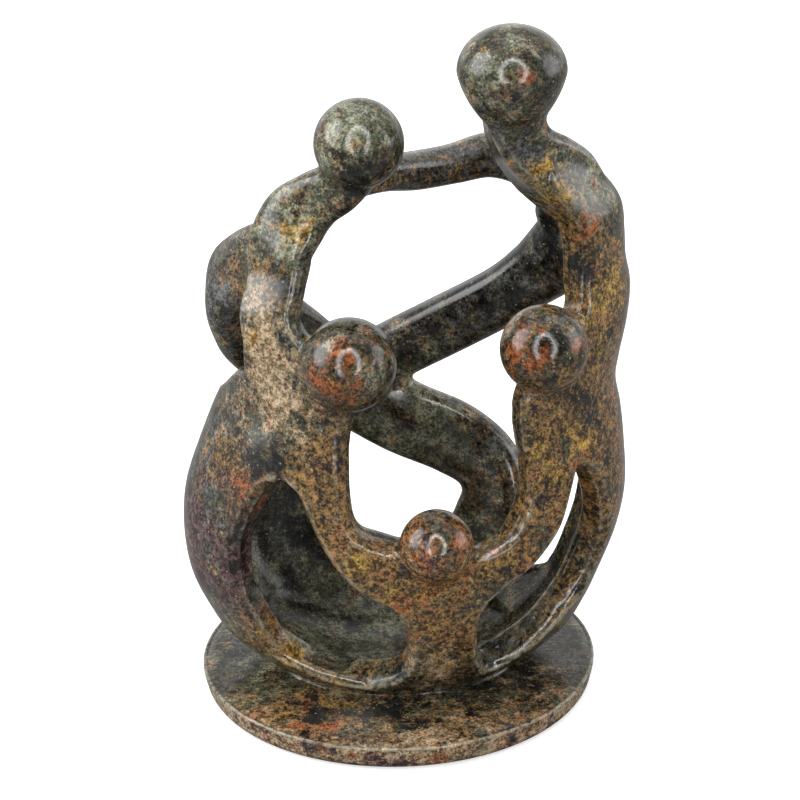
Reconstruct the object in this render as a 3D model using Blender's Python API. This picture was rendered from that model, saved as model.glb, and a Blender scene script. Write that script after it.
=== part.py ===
"""Family group: two parents and three children carved from one block of stone.

The figure is openwork. Its outer faces lie on one egg-shaped block, and every
limb is a band of stone that follows that block. A place on the block is given
by its bearing, in degrees from the front (left is negative, the back is 180),
and by its height above the base. The carving is drawn in shares: DRAWN_HEIGHT
shares make up the height of the figure, so the pose scales with that height.
"""
import math

import bmesh
import bpy
import numpy as np

# Driving dimensions, in metres
FIGURE_HEIGHT = 0.255
BASE_DIAMETER = 0.150
BASE_THICKNESS = 0.010
BASE_DOME = 0.0012
BASE_EDGE_ROUNDING = 0.005
BASE_RIM_BULGE = 0.001
BAND_THICKNESS = 0.012
FATHER_HEAD_DIAMETER = 0.0386
MOTHER_HEAD_DIAMETER = 0.0318
LEFT_CHILD_HEAD_DIAMETER = 0.0335
RIGHT_CHILD_HEAD_DIAMETER = 0.0315
SMALL_CHILD_HEAD_DIAMETER = 0.0268

# The figure is drawn this many shares tall, and its foot is sunk into the base
DRAWN_HEIGHT = 255.0
SHARE = FIGURE_HEIGHT / DRAWN_HEIGHT
FOOT = -0.5 * BASE_THICKNESS / SHARE

# Rows along a limb, points round its section, and how near a pole its rows end
STATIONS = 60
SECTION_POINTS = 48
POLE_GAP = 0.03
BOWL_SEGMENTS = 120
BOWL_RINGS = 16

# How finely the stone is resolved before its facets are thinned out
CARVING_GRAIN = 0.0016
POLISHING_PASSES = 4
FIGURE_FACETS = 7800
BASE_SEGMENTS = 72
BASE_EDGE_STEPS = 5
BASE_TOP_STEPS = 3

# The block: height, centre to the side, half width, centre in depth, half depth
BLOCK = np.array([
    (-8, 0, 38, 0, 31),
    (0, 0, 45, 0, 36),
    (8, 0, 56, 0, 42),
    (17, 0, 66, 0, 47),
    (28, 0, 72.5, 0, 51),
    (41, 0, 78, 0, 55),
    (56, 1.5, 82, 0, 57),
    (70, 3.5, 83, 0, 57),
    (89, 6.5, 79.5, 0, 57),
    (103, 8.5, 76, 0, 56),
    (115, 10, 72.5, 0, 54.5),
    (125, 11, 73, 0, 53),
    (139, 10.5, 76.5, 0, 51),
    (152, 10, 78, 0, 49),
    (162, 12.5, 73.5, -0.5, 47.5),
    (171, 15.5, 70, -1, 46),
    (184, 20, 63.5, -3, 41),
    (195, 24, 51.5, -6, 37),
    (206, 29.5, 34.5, -10, 31),
    (214, 33.5, 23, -15, 25),
    (222, 38.5, 15, -20, 18),
    (232, 43, 10, -24, 12)], float)


def spline(values, positions, at):
    """Smooth curve through values given at rising positions, read at other positions."""
    values = np.asarray(values, float)
    slopes = np.gradient(values, positions, axis=0)
    at = np.clip(at, positions[0], positions[-1])
    k = np.clip(np.searchsorted(positions, at, side="right") - 1, 0, len(positions) - 2)
    span = positions[k + 1] - positions[k]
    t = (at - positions[k]) / span
    if values.ndim > 1:
        t = t[..., None]
        span = span[..., None]
    early = (1 + 2 * t) * (1 - t) ** 2 * values[k] + t * (1 - t) ** 2 * span * slopes[k]
    late = t ** 2 * (3 - 2 * t) * values[k + 1] - t ** 2 * (1 - t) * span * slopes[k + 1]
    return early + late


def on_block(bearing, height):
    """The point of the block's face at a bearing and a height, in shares."""
    row = spline(BLOCK[:, 1:], BLOCK[:, 0], np.asarray(height, float))
    centre_x, half_width, centre_y, half_depth = np.moveaxis(row, -1, 0)
    turn = np.radians(bearing)
    x = centre_x + half_width * np.sin(turn)
    y = centre_y - half_depth * np.cos(turn)
    return np.stack([x, y, np.broadcast_to(height, x.shape)], -1)


def out_of_block(bearing, height):
    """The outward direction of the block's face at a bearing and a height."""
    step = 0.5
    around = on_block(bearing + step, height) - on_block(bearing - step, height)
    up = on_block(bearing, height + step) - on_block(bearing, height - step)
    outward = np.cross(around, up)
    return outward / np.linalg.norm(outward, axis=-1, keepdims=True)


def stations(rows):
    """Rows of numbers made into a smooth run of closely spaced rows."""
    rows = np.asarray(rows, float)
    places = np.arange(len(rows), dtype=float)
    return spline(rows, places, np.linspace(0, len(rows) - 1, STATIONS))


def rounded_square(sharpness):
    """A closed outline from -1 to 1 both ways, a circle at 2 and squarer above."""
    turn = np.linspace(0, 2 * math.pi, SECTION_POINTS, endpoint=False)
    across = np.sign(np.cos(turn)) * np.abs(np.cos(turn)) ** (2 / sharpness)
    deep = np.sign(np.sin(turn)) * np.abs(np.sin(turn)) ** (2 / sharpness)
    return across, deep


class Stone:
    """Closed shapes that overlap, gathered to be carved as one."""

    def __init__(self):
        self.points = []
        self.faces = []
        self.count = 0

    def add_rings(self, rings):
        """Skins a run of rings of points, and caps its two ends."""
        length, size, _ = rings.shape
        start = self.count
        last = start + (length - 1) * size
        self.points.append(rings.reshape(-1, 3))
        self.count += length * size
        for here in range(start, last, size):
            there = here + size
            for k in range(size):
                after = (k + 1) % size
                self.faces.append((here + k, here + after, there + after, there + k))
        self.faces.append(tuple(range(start + size - 1, start - 1, -1)))
        self.faces.append(tuple(range(last, last + size)))

    def mesh(self, name):
        """All the shapes as one mesh, each with its faces outwards."""
        mesh = bpy.data.meshes.new(name)
        mesh.from_pydata(np.concatenate(self.points).tolist(), [], self.faces)
        work = bmesh.new()
        work.from_mesh(mesh)
        bmesh.ops.recalc_face_normals(work, faces=work.faces)
        work.to_mesh(mesh)
        work.free()
        return mesh


def placed(points):
    """Shares turned into metres, with the base under them."""
    metres = points * SHARE
    metres[..., 2] += BASE_THICKNESS
    return metres


def band(stone, rows, sharpness=4.0):
    """A wall that follows the block between two edges.

    Each row gives a bearing and a height on one edge, then on the other, and
    how many thicknesses deep the wall is there.
    """
    rows = stations(rows)
    across, deep = rounded_square(sharpness)
    side = (across + 1) / 2
    bearing = rows[:, 0, None] + (rows[:, 2] - rows[:, 0])[:, None] * side
    height = rows[:, 1, None] + (rows[:, 3] - rows[:, 1])[:, None] * side
    inset = BAND_THICKNESS / SHARE * rows[:, 4, None] * (1 - deep) / 2
    points = on_block(bearing, height) - inset[..., None] * out_of_block(bearing, height)
    stone.add_rings(placed(points))


def limb(stone, rows, sharpness=2.6):
    """A rounded bar along the block.

    Each row gives the bearing and height of its middle, how deep that lies
    under the block's face, and half its width and half its depth, in shares.
    Its broad face stays upright.
    """
    rows = stations(rows)
    outward = out_of_block(rows[:, 0], rows[:, 1])
    outward[:, 2] = 0
    outward /= np.linalg.norm(outward, axis=1, keepdims=True)
    middle = on_block(rows[:, 0], rows[:, 1]) - rows[:, 2, None] * outward
    sweep(stone, middle, outward, rows[:, 3], rows[:, 4], sharpness)


def bar(stone, rows, sharpness=2.2):
    """A rounded bar through free points.

    Each row gives x, y and height, half the width, half the depth and the
    bearing that its broad face turns to.
    """
    rows = stations(rows)
    facing = np.radians(rows[:, 5])
    outward = np.stack([np.sin(facing), -np.cos(facing), np.zeros(STATIONS)], -1)
    sweep(stone, rows[:, :3], outward, rows[:, 3], rows[:, 4], sharpness)


def sweep(stone, middle, outward, half_width, half_depth, sharpness):
    """A rounded section carried along a path, its depth kept along outward."""
    along = np.gradient(middle, axis=0)
    along /= np.linalg.norm(along, axis=1, keepdims=True)
    aside = np.cross(along, outward)
    aside /= np.linalg.norm(aside, axis=1, keepdims=True)
    outward = np.cross(aside, along)
    across, deep = rounded_square(sharpness)
    points = (middle[:, None]
              + (half_width[:, None] * across)[..., None] * aside[:, None]
              + (half_depth[:, None] * deep)[..., None] * outward[:, None])
    stone.add_rings(placed(points[:, ::-1]))


def bowl(stone, rims, floor):
    """A hollow foot inside the block: outer face, rounded lip, then a round inner face.

    Each rim row gives a bearing and the height of the lip there, and floor is
    the height of the middle of the hollow.
    """
    rims = np.asarray(rims, float)
    bearing = np.linspace(-180, 180, BOWL_SEGMENTS, endpoint=False)
    rim = spline(rims[:, 1], rims[:, 0], bearing)
    wall = BAND_THICKNESS / SHARE
    lip_face = on_block(bearing, rim)
    outward = out_of_block(bearing, rim)
    rings = []
    for climb in np.linspace(0, 1, BOWL_RINGS):
        rings.append(on_block(bearing, FOOT + (rim - FOOT) * climb))
    for turn in np.linspace(0, math.pi, BOWL_RINGS)[1:]:
        lift = np.array([0, 0, wall / 4 * math.sin(turn)])
        rings.append(lip_face - wall / 2 * (1 - math.cos(turn)) * outward + lift)
    inner = rings[-1]
    for turn in np.linspace(math.pi / 2, POLE_GAP, BOWL_RINGS)[1:]:
        ring = inner * math.sin(turn)
        ring[:, 2] = floor + (inner[:, 2] - floor) * (1 - math.cos(turn))
        rings.append(ring)
    stone.add_rings(placed(np.array(rings)))


def head(stone, place, diameter, crown=1.0, chin=1.0, taper=0.0):
    """A round head at a place in shares.

    Crown and chin stretch it above and below its widest line, and taper narrows
    it downwards.
    """
    radius = diameter / 2 / SHARE
    turn = np.linspace(POLE_GAP, math.pi - POLE_GAP, STATIONS)
    around = np.linspace(0, 2 * math.pi, SECTION_POINTS, endpoint=False)
    level = -np.cos(turn)
    girth = np.sin(turn) * (1 + taper * np.minimum(level, 0))
    rise = level * np.where(level > 0, crown, chin)
    points = np.zeros((STATIONS, SECTION_POINTS, 3))
    points[..., 0] = girth[:, None] * np.cos(around)
    points[..., 1] = girth[:, None] * np.sin(around)
    points[..., 2] = rise[:, None]
    stone.add_rings(placed(np.array(place, float) + radius * points))


def carve_small_child(stone):
    """The trunk, spreading at its foot, and the arms that curve up on both sides."""
    band(stone, [
        (-34, FOOT, 48, FOOT, 1.2),
        (-26, 2, 44, 2, 1.1),
        (-12, 6, 39, 6, 1),
        (-1, 11, 33, 11, 1),
        (3, 20, 27, 19, 1),
        (3, 30, 24, 30, 1),
        (2, 38, 24, 38, 1),
        (-2, 46, 26, 46, 1),
        (-8, 54, 31, 53, 1),
        (-14, 62, 36, 62, 1)])
    band(stone, [
        (-22, 130, -50, 130, 1),
        (-22, 112, -44, 112, 1),
        (-20, 100, -40, 96.5, 1),
        (-18, 90, -32.5, 90, 1),
        (-15.5, 81, -26.5, 80, 1),
        (-12, 75, -19, 65, 1),
        (-6, 71, -11, 53, 1),
        (2, 69, -1, 45, 1),
        (8, 67.5, 8, 40, 1),
        (14, 67, 19, 44, 1),
        (20, 67, 28, 50, 1),
        (26, 70, 36, 56, 1),
        (29.5, 78, 43.5, 69, 1),
        (31.7, 88, 47.5, 83, 1),
        (31.8, 98, 52, 97, 1),
        (31, 112, 60, 112, 1),
        (30, 130, 66, 128, 1)])
    head(stone, (14.7, -54, 71), SMALL_CHILD_HEAD_DIAMETER)


def carve_mother(stone):
    """Her side from the waist to the shoulder, then her neck and head."""
    band(stone, [
        (-21, 100, -75, 100, 1),
        (-22, 112, -70, 113, 1),
        (-22, 122, -65, 124, 1),
        (-27, 136, -59, 136, 0.95),
        (-34, 150, -56, 149, 0.85),
        (-38.5, 162, -61, 161, 0.8),
        (-42.5, 172, -69, 171, 0.8),
        (-46, 180, -71, 178, 0.6)])
    bar(stone, [
        (-40.5, -26, 160, 9, 3.5, -37),
        (-39.5, -25, 167, 11.5, 5, -39),
        (-37.5, -23.5, 175, 12, 6, -41),
        (-31.5, -22.5, 184.5, 11, 6.5, -36),
        (-24, -23.5, 191.5, 9, 7, -26),
        (-16.5, -25.5, 197.5, 8.6, 8, -12),
        (-12, -27, 205, 9, 9, 0),
        (-10, -28, 214, 10, 10, 0)], sharpness=3.0)
    head(stone, (-9.5, -28, 214.6), MOTHER_HEAD_DIAMETER)


def carve_father(stone):
    """His side from the waist to the shoulder, then his neck and head."""
    band(stone, [
        (31, 104, 116, 104, 1),
        (30, 116, 115, 116, 1),
        (30, 126, 112, 130, 1),
        (38, 139, 114, 142, 1),
        (46, 150, 124, 151, 1.1),
        (48.5, 161, 136, 160, 1.2),
        (49.5, 172, 139, 168, 1.3),
        (48, 184, 141, 178, 1.4),
        (47, 194, 141, 188, 1.4),
        (49, 203, 138, 199, 1.2),
        (60, 209, 125, 206, 0.7)])
    bar(stone, [
        (77, -4, 168, 5, 5, 90),
        (72.5, -8, 180, 10, 7, 75),
        (65, -13, 192, 12, 8.5, 58),
        (55.5, -18, 202, 11.5, 10, 42),
        (47.6, -22, 211.5, 10, 10.5, 22),
        (44.3, -24, 222, 10, 10.5, 8),
        (44, -25, 232, 11, 11, 0)], sharpness=2.8)
    head(stone, (44, -25, 238.6), FATHER_HEAD_DIAMETER, crown=0.84, chin=1.2, taper=0.25)


def carve_left_side(stone):
    """The broad left side, which runs on round the back, with the left child's head."""
    band(stone, [
        (-38, 8, -172, 14, 1),
        (-43, 20, -168, 30, 1),
        (-44.5, 33, -163, 42, 1),
        (-46.5, 46, -158, 54, 1),
        (-47.3, 60, -152, 68, 1),
        (-46.5, 73, -147, 80, 1),
        (-45, 83, -141, 90, 1),
        (-42, 91, -130, 99, 1),
        (-37, 95, -112, 105, 1),
        (-32, 114, -88, 115, 1),
        (-38, 130, -68, 127, 1)])
    head(stone, (-14.8, -47, 139.4), LEFT_CHILD_HEAD_DIAMETER)


def carve_right_side(stone):
    """The narrower right side, with the right child's head."""
    band(stone, [
        (38, 4, 140, 4, 1),
        (46, 12, 122, 12, 1),
        (51.5, 20.5, 115, 20, 1),
        (58.5, 28.5, 111, 30, 1),
        (64.5, 37, 110, 42, 1),
        (67, 47, 111, 54, 1),
        (67, 57, 113, 64, 1),
        (63.5, 68, 115, 76, 1),
        (60, 79, 116, 88, 1),
        (56, 88, 117, 98, 1),
        (50, 94, 118, 108, 1),
        (40, 104, 117, 120, 1),
        (32, 120, 114, 130, 1)])
    head(stone, (54, -42, 141.8), RIGHT_CHILD_HEAD_DIAMETER)


def carve_bowl(stone):
    """The bowl that carries the figure, its lip low at the front."""
    bowl(stone, [
        (-180, 22),
        (-165, 28),
        (-140, 34),
        (-90, 34),
        (-62, 27),
        (-50, 20),
        (-40, 13.5),
        (-30, 8),
        (-18, 5),
        (0, 5),
        (20, 6),
        (34, 8),
        (43, 10),
        (50, 18),
        (60, 28),
        (90, 30),
        (110, 23),
        (125, 16),
        (150, 17),
        (180, 22)], floor=1.5)


def carve_back(stone):
    """The bar and the ribbon that cross at the back, and the bridge between the parents."""
    limb(stone, [
        (108, 163, 9, 18, 9),
        (126, 156, 9, 15.5, 9),
        (140, 143, 9, 12.5, 9),
        (152, 131, 9, 11.5, 9),
        (169.5, 117.5, 9, 11.5, 9),
        (185, 107, 9, 11.5, 9),
        (200, 96.5, 9, 12, 9),
        (217, 88, 9, 13, 8),
        (238, 81, 9, 16, 7)])
    limb(stone, [
        (-54, 176, 7, 10, 5),
        (-68, 169, 7, 12, 6),
        (-82, 158.5, 8, 14, 7),
        (-95, 147, 9, 16, 8),
        (-108, 134.5, 9, 18, 8),
        (-121, 123, 9, 18, 8),
        (-143, 107, 10, 16, 8),
        (-165, 89, 11, 15, 8),
        (-180, 78, 12, 15, 8),
        (-195, 70, 12, 15, 8),
        (-206, 61, 11, 14, 8),
        (-212, 50, 10, 13.5, 8),
        (-213, 37, 9, 16, 7),
        (-212, 18, 8, 22, 6)])
    bar(stone, [
        (-14, -24, 199, 6, 7, 45),
        (-2, -11, 197.5, 6.5, 7, 40),
        (10, 3, 193.5, 7, 7.5, 35),
        (24, 14, 192, 7, 8.5, 20),
        (38, 20, 193, 8, 10, 0),
        (52, 20, 190, 9, 12, -20),
        (64, 14, 182, 9, 10, -40)])


def build_figure():
    stone = Stone()
    carve_small_child(stone)
    carve_mother(stone)
    carve_father(stone)
    carve_left_side(stone)
    carve_right_side(stone)
    carve_bowl(stone)
    carve_back(stone)
    return stone.mesh("family_group")


def stone_material():
    material = bpy.data.materials.new("polished_serpentine")
    material.use_nodes = True
    shader = material.node_tree.nodes["Principled BSDF"]
    shader.inputs["Base Color"].default_value = (0.10, 0.08, 0.045, 1)
    shader.inputs["Roughness"].default_value = 0.25
    shader.inputs["Metallic"].default_value = 0.0
    return material


def base_mesh():
    """A turned disc: flat underside, rounded lower edge, crease and a low dome on top."""
    radius = BASE_DIAMETER / 2
    rounding = min(BASE_EDGE_ROUNDING, 0.8 * BASE_THICKNESS)
    foot = radius - BASE_RIM_BULGE
    turned = []
    for turn in np.linspace(0, math.pi / 2, BASE_EDGE_STEPS):
        turned.append((foot - rounding * (1 - math.sin(turn)), rounding * (1 - math.cos(turn))))
    for reach in np.linspace(1, 0, BASE_TOP_STEPS, endpoint=False):
        turned.append((radius * reach, BASE_THICKNESS + BASE_DOME * (1 - reach ** 2)))
    points = [(0.0, 0.0, 0.0)]
    faces = []
    for x, z in turned:
        for k in range(BASE_SEGMENTS):
            turn = 2 * math.pi * k / BASE_SEGMENTS
            points.append((x * math.cos(turn), x * math.sin(turn), z))
    points.append((0.0, 0.0, BASE_THICKNESS + BASE_DOME))
    top = len(points) - 1
    for k in range(BASE_SEGMENTS):
        after = (k + 1) % BASE_SEGMENTS
        faces.append((0, 1 + after, 1 + k))
        for ring in range(len(turned) - 1):
            low = 1 + ring * BASE_SEGMENTS
            high = low + BASE_SEGMENTS
            faces.append((low + k, low + after, high + after, high + k))
        last = 1 + (len(turned) - 1) * BASE_SEGMENTS
        faces.append((last + k, last + after, top))
    mesh = bpy.data.meshes.new("base_disc")
    mesh.from_pydata(points, [], faces)
    mesh.update()
    return mesh


def main():
    for thing in list(bpy.data.objects):
        bpy.data.objects.remove(thing, do_unlink=True)
    scene = bpy.context.scene
    base = bpy.data.objects.new("base_disc", base_mesh())
    base.hide_render = True
    base.display_type = "WIRE"
    scene.collection.objects.link(base)
    figure = bpy.data.objects.new("family_group", build_figure())
    figure.data.materials.append(stone_material())
    scene.collection.objects.link(figure)
    carve = figure.modifiers.new("carve", "REMESH")
    carve.mode = "VOXEL"
    carve.voxel_size = CARVING_GRAIN
    polish = figure.modifiers.new("polish", "SMOOTH")
    polish.factor = 0.5
    polish.iterations = POLISHING_PASSES
    bpy.context.view_layer.update()
    carved = figure.evaluated_get(bpy.context.evaluated_depsgraph_get())
    triangles = sum(len(face.vertices) - 2 for face in carved.data.polygons)
    thin = figure.modifiers.new("thin", "DECIMATE")
    thin.ratio = FIGURE_FACETS / triangles
    stand = figure.modifiers.new("stand", "BOOLEAN")
    stand.operation = "UNION"
    stand.object = base


main()
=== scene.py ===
"""Family group carved from one block of serpentine: the stone, its studio and its camera."""
import math

import bmesh
import bpy
import numpy as np
from bpy.props import FloatProperty, FloatVectorProperty, IntProperty, PointerProperty
from mathutils import Matrix, Vector


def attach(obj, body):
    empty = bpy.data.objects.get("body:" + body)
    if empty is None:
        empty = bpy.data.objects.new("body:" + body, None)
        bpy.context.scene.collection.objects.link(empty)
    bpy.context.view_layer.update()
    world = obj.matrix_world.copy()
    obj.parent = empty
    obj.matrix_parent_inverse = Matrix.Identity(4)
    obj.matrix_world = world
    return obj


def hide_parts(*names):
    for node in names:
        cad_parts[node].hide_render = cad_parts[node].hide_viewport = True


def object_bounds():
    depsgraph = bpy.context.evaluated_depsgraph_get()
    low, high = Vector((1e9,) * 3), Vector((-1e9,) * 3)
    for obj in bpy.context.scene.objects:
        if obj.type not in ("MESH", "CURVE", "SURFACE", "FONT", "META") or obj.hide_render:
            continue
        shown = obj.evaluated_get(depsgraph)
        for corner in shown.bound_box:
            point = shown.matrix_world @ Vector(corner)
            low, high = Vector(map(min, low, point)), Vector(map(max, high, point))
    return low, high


bl_info = {
    "name": "Stone family group",
    "version": (1, 0, 0),
    "blender": (4, 5, 0),
    "location": "3D View > Sidebar > Family group",
    "description": "Carves and polishes a stone family group, and sets it in a pale studio",
    "category": "Add Mesh",
}

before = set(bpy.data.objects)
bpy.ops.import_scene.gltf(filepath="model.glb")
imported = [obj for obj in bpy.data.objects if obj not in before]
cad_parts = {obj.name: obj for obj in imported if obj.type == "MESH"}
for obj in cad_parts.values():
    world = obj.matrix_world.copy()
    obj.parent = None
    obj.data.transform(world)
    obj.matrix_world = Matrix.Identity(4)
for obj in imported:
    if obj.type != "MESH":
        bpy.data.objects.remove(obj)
CAD_BOX = [list(corner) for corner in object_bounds()]

# The figure is drawn this many shares tall
DRAWN_HEIGHT = 255.0

# Rows along a limb, points round a plain section, and how near a pole the rows of a ball end
STATIONS = 110
SECTION_POINTS = 64
POLE_GAP = 0.03
BOWL_SEGMENTS = 180
BOWL_RINGS = 24
BASE_SEGMENTS = 180

# Largest share of a section's smaller half that its bevel may take
BEVEL_LIMIT = 0.45

# Bearings between which the bowl's lip grows from thin to full, and how much wider than tall it is
LIP_THIN = 42
LIP_FULL = 76
LIP_FLATNESS = 3.4

# Edge of the base: how far below the top and within the radius the rim ends, how far in the points
# of the edge and the groove lie, and the share of the radius where the rings end near the middle
RIM_DROP = 0.0008
RIM_INSET = 0.0001
EDGE_INSETS = (0.0003, 0.0009, 0.0013, 0.0018, 0.0024)
EDGE_DROP = 0.0002
CENTRE = 0.002

# Pull at which a point in a hollow moves as far as it may, and the share of the pull that it moves
FULL_PULL = 0.00004
PULL_SHARE = 0.7

# How deep from the faces of the solid's box the fitting starts, and the gap that it leaves
BOX_MARGIN = 0.006
BOX_GAP = 0.00005

# Points on each of the eight sides of a bevelled section, the broad faces being the long ones
SIDE_STEPS = (5, 4, 20, 4, 5, 4, 20, 4)

# The block: height, centre to the side, half width, centre in depth, half depth, in shares
BLOCK = np.array([
    (-8, 0, 38, 0, 31), (0, 0, 45, 0, 36), (8, 0, 56, 0, 42), (17, 0, 66, 0, 47),
    (28, 0, 72.5, 0, 51), (41, 0, 78, 0, 55), (56, 1.5, 82, 0, 57), (70, 3.5, 83, 0, 57),
    (89, 6.5, 79.5, 0, 57), (103, 8.5, 76, 0, 56), (115, 10, 72.5, 0, 54.5), (125, 11, 73, 0, 53),
    (139, 10.5, 76.5, 0, 51), (152, 10, 78, 0, 49), (162, 12.5, 73.5, -0.5, 47.5),
    (171, 15.5, 70, -1, 46), (184, 20, 63.5, -3, 41), (195, 24, 51.5, -6, 37),
    (206, 29.5, 34.5, -10, 31), (214, 33.5, 23, -15, 25), (222, 38.5, 15, -20, 18),
    (232, 43, 10, -24, 12)], float)

# Bands that follow the block: bearing and height of one edge, then of the other, and thickness
CHILD_TRUNK = (
    (-34, -5, 48, -5, 1.2), (-26, 2, 44, 2, 1.1), (-12, 6, 39, 6, 1), (-1, 11, 33, 11, 1),
    (3, 20, 27, 19, 1), (3, 30, 24, 30, 1), (2, 38, 24, 38, 1), (-2, 46, 26, 46, 1),
    (-8, 54, 31, 53, 1), (-14, 62, 36, 62, 1))
CHILD_ARMS = (
    (-22, 130, -50, 130, 1), (-22, 112, -44, 112, 1), (-20, 100, -40, 96.5, 1),
    (-18, 90, -32.5, 90, 1), (-15.5, 81, -26.5, 80, 1), (-12, 75, -19, 65, 1),
    (-6, 71, -11, 53, 1), (2, 69, -1, 45, 1), (8, 67.5, 8, 40, 1), (14, 67, 19, 44, 1),
    (20, 67, 28, 50, 1), (26, 70, 36, 56, 1), (29.5, 78, 43.5, 69, 1), (31.7, 88, 47.5, 83, 1),
    (31.8, 98, 52, 97, 1), (31, 112, 60, 112, 1), (30, 130, 66, 128, 1))
MOTHER_SIDE = (
    (-21, 100, -75, 100, 1), (-22, 112, -70, 113, 1), (-22, 122, -65, 124, 1),
    (-27, 136, -59, 136, 0.95), (-34, 150, -56, 149, 0.85), (-38.5, 162, -61, 161, 0.8),
    (-42.5, 172, -69, 171, 0.8), (-46, 180, -71, 178, 0.6))
FATHER_SIDE = (
    (31, 104, 116, 104, 1), (30, 116, 115, 116, 1), (30, 126, 112, 130, 1), (38, 139, 114, 142, 1),
    (47.5, 150, 124, 151, 1.1), (50.5, 161, 136, 160, 1.2), (51, 172, 139, 168, 1.3),
    (48.5, 184, 141, 178, 1.4), (45, 194, 141, 188, 1.4), (46, 203, 138, 199, 1.2),
    (60, 209, 125, 206, 0.7))
LEFT_SIDE = (
    (-38, 8, -172, 14, 1), (-43, 20, -168, 30, 1), (-44.5, 33, -163, 42, 1),
    (-46.5, 46, -158, 54, 1), (-47.3, 60, -152, 68, 1), (-46.5, 73, -147, 80, 1),
    (-45, 83, -141, 90, 1), (-42, 91, -130, 99, 1), (-37, 95, -112, 105, 1),
    (-32, 114, -88, 115, 1), (-38, 130, -68, 127, 1))
RIGHT_SIDE = (
    (38, 4, 140, 4, 1), (46, 12, 122, 12, 1), (51.5, 20.5, 115, 20, 1), (58.5, 28.5, 111, 30, 1),
    (64.5, 37, 110, 42, 1), (67, 47, 111, 54, 1), (67, 57, 113, 64, 1), (63.5, 68, 115, 76, 1),
    (60, 79, 116, 88, 1), (56, 88, 117, 98, 1), (50, 94, 118, 108, 1), (40, 104, 117, 120, 1),
    (32, 120, 114, 130, 1))

# Bars through free points: place, half width, half depth and the bearing of the broad face
MOTHER_NECK = (
    (-40.5, -26, 160, 9, 3.5, -37), (-39.5, -25, 167, 11.5, 5, -39),
    (-38.2, -23.5, 175.6, 12.8, 6, -41), (-32.7, -22.5, 185.5, 12.4, 6.5, -36),
    (-25.2, -23.5, 192.6, 10.4, 7, -26), (-17, -25.5, 198, 9.2, 8, -12), (-12, -27, 205, 9, 9, 0),
    (-10, -28, 214, 10, 10, 0))
FATHER_NECK = (
    (77, -4, 168, 5, 5, 90), (72.5, -8, 180, 10, 7, 75), (65, -13, 192, 12, 8.5, 58),
    (55.5, -18, 202, 11.5, 10, 42), (47.6, -22, 211.5, 10, 10.5, 22),
    (44.3, -24, 222, 10, 10.5, 8), (44, -25, 232, 11, 11, 0))
BRIDGE = (
    (-14, -24, 199, 6, 7, 45), (-2, -11, 197.5, 6.5, 7, 40), (10, 3, 193.5, 7, 7.5, 35),
    (24, 14, 192, 7, 8.5, 20), (38, 20, 193, 8, 10, 0), (52, 20, 190, 9, 12, -20),
    (64, 14, 182, 9, 10, -40))

# Limbs along the block: bearing and height of the middle, how deep it lies under the face, and
# half the width and half the depth
BACK_BAR = (
    (108, 163, 9, 18, 9), (126, 156, 9, 15.5, 9), (140, 143, 9, 12.5, 9), (152, 131, 9, 11.5, 9),
    (169.5, 117.5, 9, 11.5, 9), (185, 107, 9, 11.5, 9), (200, 96.5, 9, 12, 9), (217, 88, 9, 13, 8),
    (238, 81, 9, 16, 7))
BACK_RIBBON = (
    (-54, 176, 7, 10, 5), (-68, 169, 7, 12, 6), (-82, 158.5, 8, 14, 7), (-95, 147, 9, 16, 8),
    (-108, 134.5, 9, 18, 8), (-121, 123, 9, 18, 8), (-143, 107, 10, 16, 8), (-165, 89, 11, 15, 8),
    (-180, 78, 12, 15, 8), (-195, 70, 12, 15, 8), (-206, 61, 11, 14, 8), (-212, 50, 10, 13.5, 8),
    (-213, 37, 9, 16, 7), (-212, 18, 8, 22, 6))

# Heads: the size that gives the width, the middle, how tall the upper and the lower half are, and
# how much the lower half narrows
HEADS = (
    ("small_child_head", (14.7, -54, 71), 1, 1, 0),
    ("left_child_head", (-14.8, -47, 139.4), 1, 1, 0),
    ("right_child_head", (54, -42, 141.8), 1, 1, 0),
    ("mother_head", (-9.5, -28, 214.6), 1, 1, 0),
    ("father_head", (44, -25, 238.6), 0.84, 1.2, 0.25))

# The lip of the bowl that carries the figure: bearing and height; and the height of its floor
BOWL_LIP = (
    (-180, 22), (-165, 28), (-140, 34), (-90, 34), (-62, 27), (-50, 20), (-40, 13.5), (-30, 8),
    (-18, 5), (0, 5), (20, 6), (34, 8), (43, 10), (50, 18), (60, 28), (90, 30), (110, 23),
    (125, 16), (150, 17), (180, 22))
BOWL_FLOOR = 1.5

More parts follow.
